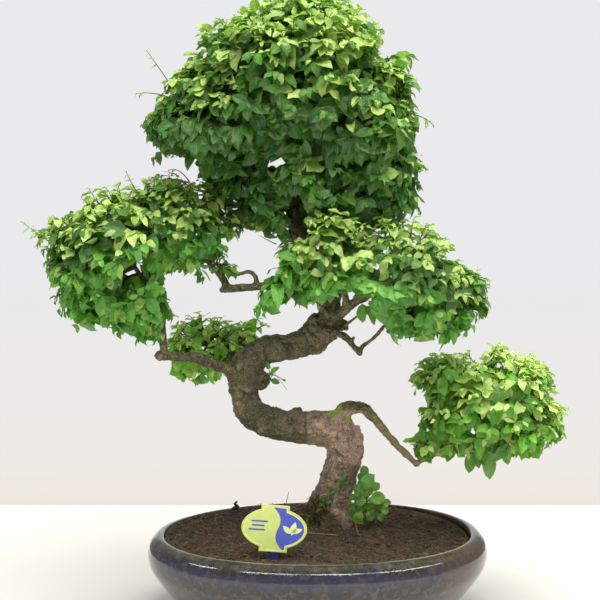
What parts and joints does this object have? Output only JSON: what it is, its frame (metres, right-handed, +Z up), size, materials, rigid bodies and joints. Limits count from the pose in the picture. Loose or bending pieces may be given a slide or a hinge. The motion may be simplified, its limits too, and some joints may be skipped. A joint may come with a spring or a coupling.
{
  "type": "potted privet bonsai",
  "caption": "Small privet tree with an S-shaped trunk and rounded heads of leaves, in an oval glazed pot.",
  "frame": {"origin": "middle of the pot's flat base, on the surface that it stands on", "axes": "+Z up the tree, +X to the right seen from the front, +Y away from the viewer"},
  "size_m": [0.5795, 0.2832, 0.7001],
  "materials": {
    "pot": "dark gloss glaze",
    "soil": "loose fibrous peat",
    "bark": "rough bark",
    "leaf": "satin leaf",
    "label": "printed plastic"
  },
  "bodies": {
    "root": {"pot": "pot", "soil": "soil", "wood": "bark", "foliage_crown": "leaf", "foliage_left": "leaf", "foliage_right": "leaf", "foliage_low_right": "leaf", "foliage_back_left": "leaf", "elbow_sprig": "leaf", "basal_shoot": "leaf", "plant_label": "label"}
  },
  "joints": []
}
